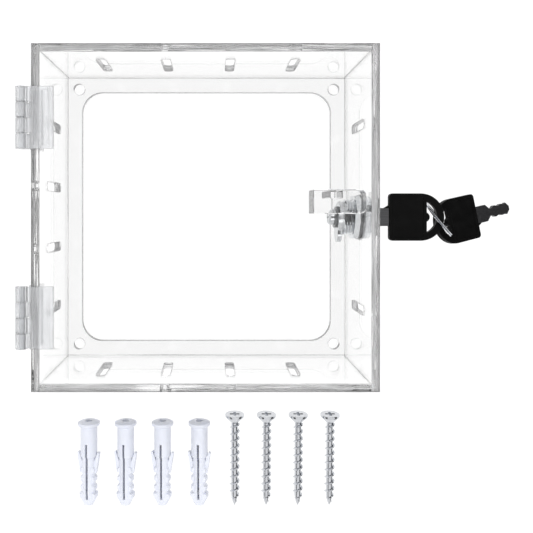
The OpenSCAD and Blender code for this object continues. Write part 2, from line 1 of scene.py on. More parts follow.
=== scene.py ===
# Clear lock box for a wall: the looks of the box, its lock, its keys and its wall fixings, built
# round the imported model, with the floor, the lamp and the camera.
import math

import bpy
from bpy.props import FloatProperty, FloatVectorProperty, IntProperty, PointerProperty
from mathutils import Matrix, Vector


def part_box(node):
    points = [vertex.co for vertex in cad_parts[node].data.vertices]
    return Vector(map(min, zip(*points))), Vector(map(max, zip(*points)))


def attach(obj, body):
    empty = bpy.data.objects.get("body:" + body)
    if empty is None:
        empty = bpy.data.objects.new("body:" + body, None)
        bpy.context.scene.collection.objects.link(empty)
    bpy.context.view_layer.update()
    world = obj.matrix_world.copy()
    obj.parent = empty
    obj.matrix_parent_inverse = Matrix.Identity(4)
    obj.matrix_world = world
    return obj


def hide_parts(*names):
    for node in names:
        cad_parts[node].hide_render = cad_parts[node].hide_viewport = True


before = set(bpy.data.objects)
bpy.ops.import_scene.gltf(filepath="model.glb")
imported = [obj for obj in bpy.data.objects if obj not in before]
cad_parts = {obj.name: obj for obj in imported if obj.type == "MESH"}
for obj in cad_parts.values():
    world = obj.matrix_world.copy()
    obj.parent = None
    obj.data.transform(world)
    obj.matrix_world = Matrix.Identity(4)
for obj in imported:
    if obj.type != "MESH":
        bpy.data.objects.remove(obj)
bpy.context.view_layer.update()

bl_info = {
    "name": "Clear Lock Box",
    "version": (1, 0, 0),
    "blender": (4, 5, 0),
    "location": "View3D > Sidebar > Lock Box",
    "description": "Builds a clear lock box with its lock, keys, screws and wall plugs",
    "category": "Object",
}

MM = 0.001


# Colours and nodes

# Sockets of the Mix node for colours, whose names it repeats for other kinds of value
MIX_FACTOR, MIX_FIRST, MIX_SECOND, MIX_RESULT = 0, 6, 7, 2


def linear(code):
    """Turns an sRGB hex colour into the linear colour that the shaders take."""
    parts = [int(code[i:i + 2], 16) / 255 for i in (1, 3, 5)]
    return [c / 12.92 if c <= 0.04045 else ((c + 0.055) / 1.055) ** 2.4 for c in parts]


def rgba(colour):
    """A colour with full opacity."""
    return (*colour[:3], 1.0)


def toned(colour, factor):
    """A colour made darker by a factor below 1, or lighter by one above it."""
    return [c * factor for c in colour]


def add_node(tree, kind, settings=None, links=None):
    """Adds one node. Settings are its properties or input values, links are input: socket."""
    node = tree.nodes.new(kind)
    for name, value in (settings or {}).items():
        if isinstance(name, str) and hasattr(node, name):
            setattr(node, name, value)
        else:
            node.inputs[name].default_value = value
    for name, socket in (links or {}).items():
        tree.links.new(socket, node.inputs[name])
    return node


def start_material(name, settings):
    """Starts a material with the shader values that are the same all over it."""
    material = bpy.data.materials.new(name)
    material.use_nodes = True
    tree = material.node_tree
    shader = tree.nodes["Principled BSDF"]
    for socket, value in settings.items():
        shader.inputs[socket].default_value = value
    return material, tree, shader


def pattern(tree, kind, settings, size_mm, stretch=(1, 1, 1)):
    """A pattern on Object coordinates whose features are about size_mm across, times the stretch
    along each axis."""
    coords = add_node(tree, "ShaderNodeTexCoord")
    scale = [1 / (size_mm * MM * s) for s in stretch]
    mapping = add_node(tree, "ShaderNodeMapping", {"Scale": scale},
                       {"Vector": coords.outputs["Object"]})
    texture = add_node(tree, kind, {"Scale": 1.0, **settings}, {"Vector": mapping.outputs[0]})
    return texture.outputs[0]


def graded(tree, factor, low, high, start=0.0, end=1.0):
    """Goes from low to high as a factor goes from start to end. Low and high are two numbers, or
    two colours, which may also be sockets. A noise seldom leaves the range from 0.3 to 0.7."""
    are_numbers = isinstance(low, (int, float))
    ends = {"To Min": low, "To Max": high} if are_numbers else {}
    ramp = add_node(tree, "ShaderNodeMapRange", {"From Min": start, "From Max": end, **ends},
                    {"Value": factor}).outputs[0]
    if are_numbers:
        return ramp
    mix = add_node(tree, "ShaderNodeMix", {"data_type": "RGBA"}, {MIX_FACTOR: ramp})
    for index, colour in ((MIX_FIRST, low), (MIX_SECOND, high)):
        if isinstance(colour, bpy.types.NodeSocket):
            tree.links.new(colour, mix.inputs[index])
        else:
            mix.inputs[index].default_value = rgba(colour)
    return mix.outputs[MIX_RESULT]


def surface(tree, shader, links, height=None, depth_mm=0.0):
    """Links sockets to the shader's inputs by name. A height of 1 stands depth_mm proud."""
    for name, socket in links.items():
        tree.links.new(socket, shader.inputs[name])
    if height is not None:
        relief = add_node(tree, "ShaderNodeBump", {"Distance": depth_mm * MM}, {"Height": height})
        tree.links.new(relief.outputs[0], shader.inputs["Normal"])


def seen(tree):
    """Is 1 where the camera, gloss or glass looks, and 0 where light is gathered for shading."""
    path = add_node(tree, "ShaderNodeLightPath")
    rays = path.outputs["Is Camera Ray"]
    for kind in ("Is Glossy Ray", "Is Transmission Ray"):
        rays = add_node(tree, "ShaderNodeMath", {"operation": "MAXIMUM"},
                        {0: rays, 1: path.outputs[kind]}).outputs[0]
    return rays


# Sizes and colours that a user would change

class LockBoxFinish(bpy.types.PropertyGroup):
    """Colours of the materials"""
    acrylic: FloatVectorProperty(
        name="Acrylic", description="Tint of the clear sheet", subtype="COLOR",
        default=linear("#fefefe"))
    cut_edge: FloatVectorProperty(
        name="Cut edge", description="Grey of the sheet's sawn and milled edges", subtype="COLOR",
        default=linear("#f6f6f7"))
    hinge: FloatVectorProperty(
        name="Hinge", description="Grey of the frosted hinges", subtype="COLOR",
        default=linear("#f5f6f8"))
    chrome: FloatVectorProperty(
        name="Chrome", description="Colour of the plated lock", subtype="COLOR",
        default=linear("#dcdee0"))
    brass: FloatVectorProperty(
        name="Brass", description="Colour of the lock's plug and wafers", subtype="COLOR",
        default=linear("#c9a45c"))
    key_metal: FloatVectorProperty(
        name="Key metal", description="Colour of the keys' blades", subtype="COLOR",
        default=linear("#5c5c5e"))
    bow: FloatVectorProperty(
        name="Bow", description="Black of the keys' plastic bows", subtype="COLOR",
        default=linear("#080808"))
    zinc: FloatVectorProperty(
        name="Zinc", description="Colour of the plated screws and the key ring", subtype="COLOR",
        default=linear("#d6d8dc"))
    nylon: FloatVectorProperty(
        name="Nylon", description="White of the wall plugs", subtype="COLOR",
        default=linear("#e4e7f1"))


class LockBoxKit(bpy.types.PropertyGroup):
    """Sizes of the screws and how they are laid out"""
    count: IntProperty(name="Screws", description="Number of screws laid out", default=4, min=1)
    first_x: FloatProperty(
        name="First screw", description="Place of the first screw along X", unit="LENGTH",
        default=13.6 * MM)
    pitch: FloatProperty(
        name="Spacing", description="Spacing of the screws", unit="LENGTH", default=15.3 * MM)
    head_y: FloatProperty(
        name="Heads", description="Place of the screws' heads along Y", unit="LENGTH",
        default=-95 * MM)
    screw_len: FloatProperty(
        name="Length", description="Length of a screw", unit="LENGTH", default=45 * MM)
    screw_d: FloatProperty(
        name="Thread", description="Diameter over the thread", unit="LENGTH", default=5 * MM)
    head_d: FloatProperty(
        name="Head", description="Diameter of a screw's head", unit="LENGTH", default=9.2 * MM)
    rim_h: FloatProperty(
        name="Rim", description="Height of the straight rim of a screw's head", unit="LENGTH",
        default=1.1 * MM)
    lead: FloatProperty(
        name="Thread pitch", description="Distance from one turn of the thread to the next",
        unit="LENGTH", default=3.5 * MM)


# Materials

ACRYLIC_IOR = 1.49

# What facing gives for a face that crosses the axis, and for one that looks along it
CROSSES, LOOKS_ALONG = 0.5, 0.9

# Where the floor is seen, this share of it glows and the rest is its own shading. The glow is
# brighter than white by what that shading lacks.
GLOW_SHARE, GLOW = 0.9, 1.12


def facing(tree, axis):
    """How squarely a face looks along an axis of the object, from 0 to 1."""
    coords = add_node(tree, "ShaderNodeTexCoord")
    along = add_node(tree, "ShaderNodeVectorMath", {"operation": "DOT_PRODUCT", 1: axis},
                     {0: coords.outputs["Normal"]})
    return add_node(tree, "ShaderNodeMath", {"operation": "ABSOLUTE"},
                    {0: along.outputs["Value"]}).outputs[0]


def streaks(tree, axis, detail, size_mm, across, along):
    """Noise drawn out along the edges of a sheet. Axis goes through the sheet's thickness, and
    across and along are how far the noise is stretched through it and in the sheet's plane."""
    return pattern(tree, "ShaderNodeTexNoise", {"Detail": detail}, size_mm=size_mm,
                   stretch=[across if part else along for part in axis])


def cast_acrylic(finish, name, axis, painted_edge_shade):
    """Clear cast acrylic sheet, sawn to size: its faces are glass clear, and every face that
    crosses the sheet's thickness is matt and grey, with long streaks that the saw left and thin
    clear lines where it rubbed the edge smooth. Axis goes through the sheet's thickness, and the
    last argument multiplies the grey of this sheet's edges. That factor is painted shade: it makes
    some walls' edges darker and others lighter, as refraction and the light make them look."""
    material, tree, shader = start_material(name, {"IOR": ACRYLIC_IOR})
    sawn = graded(tree, facing(tree, axis), 1.0, 0.0, start=CROSSES, end=LOOKS_ALONG)
    rubbed = streaks(tree, axis, detail=1.0, size_mm=1.2, across=0.7, along=30)
    matt = add_node(tree, "ShaderNodeMath", {"operation": "MULTIPLY"}, {
        0: sawn, 1: graded(tree, rubbed, 1.0, 0.0, start=0.53, end=0.56)}).outputs[0]
    saw = streaks(tree, axis, detail=3.0, size_mm=1.6, across=0.4, along=9)
    # Besides the saw streaks, this grey carries the painted shade of this sheet's edges
    grey = graded(tree, saw, toned(finish.cut_edge, 0.6 * painted_edge_shade), toned(finish.cut_edge, painted_edge_shade),
                  start=0.35, end=0.65)
    rough = add_node(tree, "ShaderNodeMath", {"operation": "MULTIPLY"}, {
        0: matt, 1: graded(tree, saw, 0.18, 0.32)}).outputs[0]
    surface(tree, shader, {
        "Base Color": graded(tree, matt, finish.acrylic, grey),
        "Roughness": rough,
        "Transmission Weight": graded(tree, matt, 1.0, 0.12)})
    return material


def polished_acrylic(finish):
    """A block of clear acrylic with polished faces. Its two ends and the sides of its hook are
    milled a little rough and painted a dark grey as the shade that refraction gives them, so
    that they show as grey bars through the block."""
    material, tree, shader = start_material("Polished acrylic", {"IOR": ACRYLIC_IOR})
    milled = graded(tree, facing(tree, (1, 0, 0)), 0.0, 1.0, start=CROSSES, end=LOOKS_ALONG)
    end_shade_noise = pattern(tree, "ShaderNodeTexNoise", {"Detail": 2.0}, size_mm=1.4, stretch=(1, 0.6, 6))
    # Painted shade: this dark grey on the ends stands for the dark that refraction shows through
    # the block
    grey = graded(tree, end_shade_noise, linear("#2c2c2e"), linear("#909092"), start=0.35, end=0.65)
    surface(tree, shader, {
        "Base Color": graded(tree, milled, finish.acrylic, grey),
        "Roughness": graded(tree, milled, 0.0, 0.16),
        "Transmission Weight": graded(tree, milled, 1.0, 0.2)})
    return material


def frosted_polycarbonate(finish, name, clear):
    """Moulded polycarbonate with a frosted skin: milky grey, half see-through, with soft streaks
    along the leaf where the melt ran. Clear sets how much of the light goes through."""
    material, tree, shader = start_material(name, {"IOR": 1.58, "Transmission Weight": clear})
    flow = pattern(tree, "ShaderNodeTexNoise", {"Detail": 2.0}, size_mm=1.6, stretch=(1, 12, 2))
    skin = pattern(tree, "ShaderNodeTexNoise", {"Detail": 2.0}, size_mm=0.6)
    surface(tree, shader, {
        "Base Color": graded(tree, flow, toned(finish.hinge, 0.9), finish.hinge,
                             start=0.35, end=0.65),
        "Roughness": graded(tree, flow, 0.12, 0.26),
    }, height=skin, depth_mm=0.01)
    return material


def bright_metal(name, colour, rough, wave_mm=4.0, depth_mm=0.02):
    """Plated, drawn or turned metal: smooth and mirror like, with the slight waves and the small
    changes of gloss that its making leaves. Rough tells hard chrome from satin steel."""
    material, tree, shader = start_material(name, {"Metallic": 1.0})
    wave = pattern(tree, "ShaderNodeTexNoise", {"Detail": 3.0}, size_mm=wave_mm)
    surface(tree, shader, {
        "Base Color": graded(tree, wave, toned(colour, 0.86), colour, start=0.3, end=0.7),
        "Roughness": graded(tree, wave, rough * 0.7, rough * 1.5, start=0.3, end=0.7),
    }, height=wave, depth_mm=depth_mm)
    return material


def key_alloy(finish):
    """Stamped nickel silver under a dark plating: satin grey, with lines from the milling cut."""
    material, tree, shader = start_material("Dark plated nickel silver", {"Metallic": 1.0})
    lines = pattern(tree, "ShaderNodeTexNoise", {"Detail": 4.0}, size_mm=0.5, stretch=(12, 1, 1))
    surface(tree, shader, {
        "Base Color": graded(tree, lines, toned(finish.key_metal, 0.7), finish.key_metal,
                             start=0.3, end=0.7),
        "Roughness": graded(tree, lines, 0.3, 0.5),
    }, height=lines, depth_mm=0.02)
    return material


def moulded_abs(finish):
    """Black ABS from a spark eroded mould: matt, with a fine grain that is drawn at 0.5 mm, twice
    its real size, so that it shows, and with paler, duller patches where it has been handled."""
    material, tree, shader = start_material("Moulded black ABS", {
        "IOR": 1.54, "Specular IOR Level": 0.05})
    grain = pattern(tree, "ShaderNodeTexNoise", {"Detail": 2.0}, size_mm=0.5)
    handling = pattern(tree, "ShaderNodeTexNoise", {"Detail": 3.0}, size_mm=5.0)
    surface(tree, shader, {
        "Base Color": graded(tree, handling, finish.bow, toned(finish.bow, 1.8),
                             start=0.4, end=0.75),
        "Roughness": graded(tree, handling, 0.34, 0.5),
    }, height=grain, depth_mm=0.04)
    return material


def moulded_nylon(finish):
    """Natural white nylon: waxy, a little translucent, with faint flow marks from the gate."""
    material, tree, shader = start_material("Moulded nylon", {
        "IOR": 1.53, "Subsurface Weight": 0.25, "Subsurface Radius": (1.0, 1.0, 1.1),
        "Subsurface Scale": 1.2 * MM})
    flow = pattern(tree, "ShaderNodeTexNoise", {"Detail": 2.0}, size_mm=2.5, stretch=(1, 4, 1))
    surface(tree, shader, {
        "Base Color": graded(tree, flow, toned(finish.nylon, 0.93), finish.nylon),
        "Roughness": graded(tree, flow, 0.32, 0.48),
    }, height=flow, depth_mm=0.04)
    return material


def white_floor():
    """White paper sweep: it shows white to the camera, to gloss and through glass, and keeps a
    share of its own shading, so that shadows stay."""
    material, tree, shader = start_material("White paper", {
        "Base Color": rgba(linear("#f4f4f4")), "Roughness": 0.9})
    fibres = pattern(tree, "ShaderNodeTexNoise", {"Detail": 2.0}, size_mm=3.0)
    surface(tree, shader, {}, height=fibres, depth_mm=0.02)
    share = add_node(tree, "ShaderNodeMath", {"operation": "MULTIPLY", 1: GLOW_SHARE},
                     {0: seen(tree)})
    glow = add_node(tree, "ShaderNodeEmission", {"Color": (1, 1, 1, 1), "Strength": GLOW})
    mix = add_node(tree, "ShaderNodeMixShader", links={
        0: share.outputs[0], 1: shader.outputs[0], 2: glow.outputs[0]})
    tree.links.new(mix.outputs[0], tree.nodes["Material Output"].inputs["Surface"])
    return material


# Modelling steps that several pieces share

# A CAD copy's vertices merge within this distance, and its faces count as flat within this angle
MERGE_WITHIN, FLAT_WITHIN = 0.0005 * MM, math.radians(0.5)

# Edges sharper than this are broken
EDGE_ANGLE = math.radians(30)

# Faces shade as one up to these angles, beside broken edges that are round and that are flat
ROUND_SHADING, FLAT_SHADING = math.radians(35), math.radians(12)

# How far clear pieces that are glued together are drawn in, in millimetres
GLUE_MM = 0.02


def only(obj):
    """Selects one object and makes it the active one."""
    bpy.ops.object.select_all(action="DESELECT")
    obj.select_set(True)
    bpy.context.view_layer.objects.active = obj


def clear_selection():
    """Leaves edit mode and selects nothing, so that a new primitive starts alone."""
    if bpy.context.object and bpy.context.object.mode != "OBJECT":
        bpy.ops.object.mode_set(mode="OBJECT")
    bpy.ops.object.select_all(action="DESELECT")


def edit_all(obj):
    """Opens a mesh for editing with all of it selected."""
    only(obj)
    bpy.ops.object.mode_set(mode="EDIT")
    bpy.ops.mesh.select_all(action="SELECT")


def edit_some(obj, kind, test):
    """Opens a mesh for editing with only those faces or vertices selected that pass a test."""
    only(obj)
    bpy.ops.object.mode_set(mode="EDIT")
    bpy.ops.mesh.select_mode(type=kind)
    bpy.ops.mesh.select_all(action="DESELECT")
    bpy.ops.object.mode_set(mode="OBJECT")
    for part in obj.data.polygons if kind == "FACE" else obj.data.vertices:
        part.select = test(part)
    bpy.ops.object.mode_set(mode="EDIT")


def apply_modifier(obj, kind, settings):
    """Adds a modifier with its settings and applies it."""
    only(obj)
    modifier = obj.modifiers.new(kind.title(), kind)
    for name, value in settings.items():
        setattr(modifier, name, value)
    bpy.ops.object.modifier_apply(modifier=modifier.name)


def place(obj, location, rotation=(0, 0, 0)):
    """Turns and moves an object, and puts the place in its mesh."""
    only(obj)
    obj.rotation_euler = rotation
    obj.location = location
    bpy.ops.object.transform_apply(location=True, rotation=True, scale=True)


def wear(obj, material):
    """Gives an object one material."""
    obj.data.materials.clear()
    obj.data.materials.append(material)


def dress(nodes, material):
    """Gives CAD nodes a material through their slots."""
    for node in nodes:
        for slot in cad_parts[node].material_slots:
            slot.material = material


def join(pieces, name):
    """Joins pieces into one object."""
    bpy.ops.object.select_all(action="DESELECT")
    for piece in pieces:
        piece.select_set(True)
    bpy.context.view_layer.objects.active = pieces[0]
    bpy.ops.object.join()
    pieces[0].name = name
    return pieces[0]


def copy_of(obj, offset):
    """A copy of an object with its own mesh, moved by offset."""
    only(obj)
    bpy.ops.object.duplicate(linked=False)
    twin = bpy.context.object
    place(twin, offset)
    return twin


def lathe(sides, profile):
    """Turns a closed shape about Z from rings of (radius, z), extruded one from another."""
    clear_selection()
    (low_r, low_z), (top_r, top_z) = profile[:2]
    middle = (low_z + top_z) / 2
    bpy.ops.mesh.primitive_cone_add(vertices=sides, radius1=low_r, radius2=top_r,
                                    depth=top_z - low_z, location=(0, 0, middle))
    obj = bpy.context.object
    bpy.ops.object.transform_apply(location=True, rotation=True, scale=True)
    # The top face is the one that the next rings are extruded from
    edit_some(obj, "FACE", lambda face: face.normal.z > 0.99 and face.center.z > middle)
    for (r, z), (next_r, next_z) in zip(profile[1:], profile[2:]):
        bpy.ops.mesh.extrude_region_move(TRANSFORM_OT_translate={"value": (0, 0, next_z - z)})
        bpy.ops.transform.resize(value=(next_r / r, next_r / r, 1),
                                 center_override=(0, 0, next_z))
    bpy.ops.object.mode_set(mode="OBJECT")
    return obj


def softened(node, name, width_mm, segments=2, draw_in_mm=0.0):
    """A copy of a CAD node with its edges broken by a small round, or by a flat with one segment.
    Clear pieces that are glued together are drawn in a little first, because light gets lost
    between faces that coincide."""
    obj = bpy.data.objects.new(name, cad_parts[node].data.copy())
    bpy.context.scene.collection.objects.link(obj)
    edit_all(obj)
    bpy.ops.mesh.remove_doubles(threshold=MERGE_WITHIN)
    bpy.ops.mesh.dissolve_limited(angle_limit=FLAT_WITHIN)
    if draw_in_mm:
        bpy.ops.mesh.select_all(action="SELECT")
        bpy.ops.transform.shrink_fatten(value=-draw_in_mm * MM, use_even_offset=True)
    bpy.ops.object.mode_set(mode="OBJECT")
    apply_modifier(obj, "BEVEL", {
        "width": width_mm * MM, "segments": segments, "limit_method": "ANGLE",
        "angle_limit": EDGE_ANGLE, "use_clamp_overlap": True})
    bpy.ops.object.shade_smooth_by_angle(angle=ROUND_SHADING if segments > 1 else FLAT_SHADING)
    if segments > 1:
        apply_modifier(obj, "WEIGHTED_NORMAL", {"keep_sharp": True, "weight": 90})
    return obj


def wound(sides, radius, half_w, half_h, angle, offset, turns, steps):
    """A rod of an oval section wound round Z. Radius goes to its middle, half_w and half_h are
    its half width and half height, and angle, offset and steps are those of one turn."""
    clear_selection()
    bpy.ops.mesh.primitive_circle_add(vertices=sides, radius=1, fill_type="NOTHING")
    rod = bpy.context.object
    edit_all(rod)
    bpy.ops.transform.rotate(value=math.radians(90), orient_axis="X", center_override=(0, 0, 0))
    bpy.ops.transform.resize(value=(half_w, 1, half_h), center_override=(0, 0, 0))
    bpy.ops.transform.translate(value=(radius, 0, 0))
    bpy.ops.object.mode_set(mode="OBJECT")
    apply_modifier(rod, "SCREW", {
        "axis": "Z", "angle": angle, "screw_offset": offset, "iterations": turns,
        "steps": steps, "render_steps": steps, "use_normal_calculate": True})
    edit_all(rod)
    bpy.ops.mesh.fill_holes(sides=sides)
    bpy.ops.mesh.select_all(action="SELECT")
    bpy.ops.mesh.normals_make_consistent(inside=False)
    bpy.ops.object.mode_set(mode="OBJECT")
    return rod


def settle(obj, node, body, material):
    """Puts a finished piece on its body, in place of a CAD node."""
    wear(obj, material)
    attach(obj, body)
    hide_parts(node)


# Pieces

class LockBoxPanels(bpy.types.Operator):
    """Finish the acrylic walls, the rim, the door and the strike block"""
    bl_idname = "lock_box.panels"
    bl_label = "Acrylic Panels"

    def execute(self, context):
        finish = context.scene.lock_box_finish
        # Each sheet's edge grey is scaled by painted shade: darker on the hinge side and lighter
        # on the lock side, as light falls through the box
        flat = cast_acrylic(finish, "Cast acrylic, front and back", (0, 0, 1), painted_edge_shade=0.95)
        ends = cast_acrylic(finish, "Cast acrylic, ends", (0, 1, 0), painted_edge_shade=1.0)
        hinge_side = cast_acrylic(finish, "Cast acrylic, hinge side", (1, 0, 0), painted_edge_shade=0.8)
        lock_side = cast_acrylic(finish, "Cast acrylic, lock side", (1, 0, 0), painted_edge_shade=1.02)
        for node, body, material in (
                ("back_flange", "case", flat), ("door_panel", "door", flat),
                ("top_wall", "case", ends), ("bottom_wall", "case", ends),
                ("left_wall", "case", hinge_side), ("right_wall", "case", lock_side)):
            sheet = softened(node, f"{node}_sawn", width_mm=0.15, segments=1, draw_in_mm=GLUE_MM)
            settle(sheet, node, body, material)
        block = softened("strike_block", "strike_block_polished", width_mm=0.3, segments=1,
                         draw_in_mm=GLUE_MM)
        settle(block, "strike_block", "door", polished_acrylic(finish))
        return {"FINISHED"}


class LockBoxHinges(bpy.types.Operator):
    """Finish the hinges' leaves and pins"""
    bl_idname = "lock_box.hinges"
    bl_label = "Hinges"

    def execute(self, context):
        finish = context.scene.lock_box_finish
        for row, clear in (("upper", 0.72), ("lower", 0.84)):
            frosted = frosted_polycarbonate(finish, f"Frosted polycarbonate, {row} hinge", clear)
            for side, body in (("wall", "case"), ("door", "door")):
                node = f"{row}_hinge_{side}_leaf"
                leaf = softened(node, f"{row}_{side}_leaf_moulded", width_mm=0.25,
                                draw_in_mm=GLUE_MM)
                settle(leaf, node, body, frosted)
        steel = bright_metal("Drawn steel", linear("#e6e8ea"), rough=0.45)
        dress(["upper_hinge_pin", "lower_hinge_pin", "wafer_springs"], steel)
        return {"FINISHED"}


class LockBoxLock(bpy.types.Operator):
    """Finish the lock, its nut, its cam and its plug"""
    bl_idname = "lock_box.lock"
    bl_label = "Cam Lock"

    def execute(self, context):
        # Chrome mirrors hard and bright, nickel a little softer and darker, and phosphate makes
        # the washers a dark satin between them. Brass shows yellow in the keyway.
        finish = context.scene.lock_box_finish
        chrome = bright_metal("Chromed zinc casting", finish.chrome, rough=0.1)
        nickel = bright_metal("Nickel plated steel", toned(finish.chrome, 0.9), rough=0.18)
        phosphate = bright_metal("Phosphated steel", toned(finish.chrome, 0.3), rough=0.3)
        brass = bright_metal("Turned brass", finish.brass, rough=0.22)
        dress(["lock_plug", "lock_wafers"], brass)
        dress(["cam_stop_washer"], nickel)
        for node, body, width_mm, segments, metal in (
                ("lock_barrel", "case", 0.06, 1, chrome),
                ("lock_nut", "case", 0.2, 2, chrome),
                ("lock_head_washer", "case", 0.15, 2, phosphate),
                ("lock_nut_washer", "case", 0.12, 2, phosphate),
                ("lock_cam", "lock_core", 0.2, 2, nickel),
                ("cam_lock_washer", "lock_core", 0.15, 2, phosphate),
                ("cam_screw", "lock_core", 0.12, 2, nickel)):
            piece = softened(node, f"{node}_plated", width_mm, segments)
            settle(piece, node, body, metal)
        return {"FINISHED"}


# The key ring
RING_R = 9.1 * MM  # to the middle of the wire
RING_LEAN, RING_TURN = math.radians(-23.5), math.radians(-53)
WIRE_HALF_W, WIRE_HALF_H = 0.68 * MM, 0.27 * MM
WIRE_TURNS, WIRE_OFFSET = 2, 0.56 * MM  # turns, and the distance from one to the next
WIRE_SWEEP = math.radians(356)  # of one turn, short of a full one so that the ends are apart
WIRE_SHADING = math.radians(50)  # faces shade as one up to this angle


class LockBoxKeys(bpy.types.Operator):
    """Finish both keys and the ring that they hang on"""
    bl_idname = "lock_box.keys"
    bl_label = "Keys"

    def execute(self, context):
        finish = context.scene.lock_box_finish
        black, alloy = moulded_abs(finish), key_alloy(finish)
        for part, ending, width_mm, segments, slot, material in (
                ("bow", "moulded", 0.3, 3, "black_plastic", black),
                ("blade", "cut", 0.12, 2, "key_steel", alloy)):
            for key in ("key", "spare_key"):
                node = f"{key}_{part}"
                piece = softened(node, f"{node}_{ending}", width_mm, segments)
                settle(piece, node, key, material)
        spring = bright_metal("Nickel plated spring steel", finish.zinc, rough=0.12)
        settle(self.split_ring(), "key_ring", "ring", spring)
        return {"FINISHED"}

    def split_ring(self):
        """Two turns of flat wire side by side, leaned and turned as the ring hangs."""
        ring = wound(sides=8, radius=RING_R, half_w=WIRE_HALF_W, half_h=WIRE_HALF_H,
                     angle=WIRE_SWEEP, offset=WIRE_OFFSET, turns=WIRE_TURNS, steps=64)
        place(ring, (0, 0, -WIRE_OFFSET * WIRE_TURNS / 2))
        bpy.ops.object.shade_smooth_by_angle(angle=WIRE_SHADING)
        low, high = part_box("key_ring")
        lie = (Matrix.Rotation(RING_LEAN, 3, "Y") @ Matrix.Rotation(RING_TURN, 3, "Z")
               @ Matrix.Rotation(math.radians(90), 3, "X"))
        place(ring, (Vector(low) + Vector(high)) / 2, lie.to_euler())
        ring.name = "split_ring"
        return ring


# A screw
CORE_SHARE = 0.32  # radius of its core, as a share of the diameter over the thread
POINT_R = 0.12 * MM  # radius that is left at its point
SMALL_ROUND = 0.1 * MM  # half the height of the rounds where its outline turns
CROSS_L, CROSS_W = 0.5, 0.14  # the cross in its head, as shares of the head's diameter
CROSS_DEPTH = 1.3 * MM
RIDGE_ROOT = 0.9  # radius where the thread's ridge starts, as a share of the core's
RIDGE_HALF_H = 0.11  # half the height of the ridge's foot, in leads
TAPER_START = 0.2  # where the ridge starts to get lower, in leads before the tip
TAPER_STEPS, TAPER = 8, 0.93  # in how many steps, and what each one scales the ridge by
RIDGE_END = 0.65  # where the ridge ends, in diameters past the start of the tip


class LockBoxScrews(bpy.types.Operator):
    """Model the countersunk screws with their threads"""
    bl_idname = "lock_box.screws"
    bl_label = "Mounting Screws"

    def execute(self, context):
        kit = context.scene.lock_box_kit
        zinc = bright_metal("Bright zinc plate", context.scene.lock_box_finish.zinc, rough=0.14,
                            wave_mm=2.0, depth_mm=0.006)
        screw = self.one_screw(kit)
        # A screw lies on the rim of its head and on the last full turn of its thread
        reach = kit.screw_len - kit.screw_d - TAPER_START * kit.lead - kit.rim_h
        lean = math.atan((kit.head_d - kit.screw_d) / 2 / reach)
        lift = kit.head_d / 2 * math.cos(lean) + kit.rim_h * math.sin(lean)
        place(screw, (kit.first_x, kit.head_y, lift), (math.pi / 2 + lean, 0, 0))
        row = [screw] + [copy_of(screw, (i * kit.pitch, 0, 0)) for i in range(1, kit.count)]
        settle(join(row, "threaded_screws"), "mounting_screws", "case", zinc)
        return {"FINISHED"}

    def one_screw(self, kit):
        """One screw along +Z, with its head at z = 0."""
        head_r, core_r = kit.head_d / 2, CORE_SHARE * kit.screw_d
        head_h = kit.rim_h + head_r - core_r
        tip = kit.screw_len - kit.screw_d
        # Rings of the head's face, its rim, its cone, the core and the tip
        body = lathe(sides=48, profile=[
            (head_r * 0.96, 0), (head_r, 0.18 * MM),
            (head_r, kit.rim_h - SMALL_ROUND), (head_r * 0.98, kit.rim_h + SMALL_ROUND),
            (core_r * 1.06, head_h - SMALL_ROUND), (core_r, head_h + 2 * SMALL_ROUND),
            (core_r, tip), (core_r * 0.62, tip + 0.6 * kit.screw_d),
            (POINT_R, kit.screw_len)])
        # The cross is cut by two bars that reach half their height into the head
        bar = (kit.head_d * CROSS_L, kit.head_d * CROSS_W, 2 * CROSS_DEPTH)
        for turn in (0, 90):
            clear_selection()
            bpy.ops.mesh.primitive_cube_add(size=1, rotation=(0, 0, math.radians(turn)), scale=bar)
            cutter = bpy.context.object
            apply_modifier(body, "BOOLEAN", {"object": cutter, "operation": "DIFFERENCE"})
            bpy.data.objects.remove(cutter)
        screw = join([body, self.thread(kit, core_r, head_h, tip)], "screw")
        only(screw)
        bpy.ops.object.shade_smooth_by_angle(angle=ROUND_SHADING)
        return screw

    def thread(self, kit, core_r, start, tip):
        """The sharp ridge that winds round the core, and gets lower along the tip."""
        root_r, crest_r = core_r * RIDGE_ROOT, kit.screw_d / 2
        end = tip + RIDGE_END * kit.screw_d
        turns = int((end - start) / kit.lead)
        ridge = wound(sides=4, radius=(root_r + crest_r) / 2, half_w=(crest_r - root_r) / 2,
                      half_h=RIDGE_HALF_H * kit.lead, angle=math.tau, offset=kit.lead,
                      turns=turns, steps=32)
        place(ridge, (0, 0, end - turns * kit.lead))
        for i in range(TAPER_STEPS):
            level = tip - TAPER_START * kit.lead + (end - tip) * i / TAPER_STEPS
            edit_some(ridge, "VERT", lambda vertex: vertex.co.z > level)
            bpy.ops.transform.resize(value=(TAPER, TAPER, 1), center_override=(0, 0, level))
            bpy.ops.object.mode_set(mode="OBJECT")
        return ridge


class LockBoxPlugs(bpy.types.Operator):
    """Finish the nylon wall plugs"""
    bl_idname = "lock_box.plugs"
    bl_label = "Wall Plugs"

    def execute(self, context):
        nylon = moulded_nylon(context.scene.lock_box_finish)
        plugs = softened("wall_plugs", "moulded_plugs", width_mm=0.15)
        settle(plugs, "wall_plugs", "case", nylon)
        return {"FINISHED"}


# The floor's side, and how far it lies under the box
FLOOR_SIDE, FLOOR_GAP = 8, 0.05 * MM

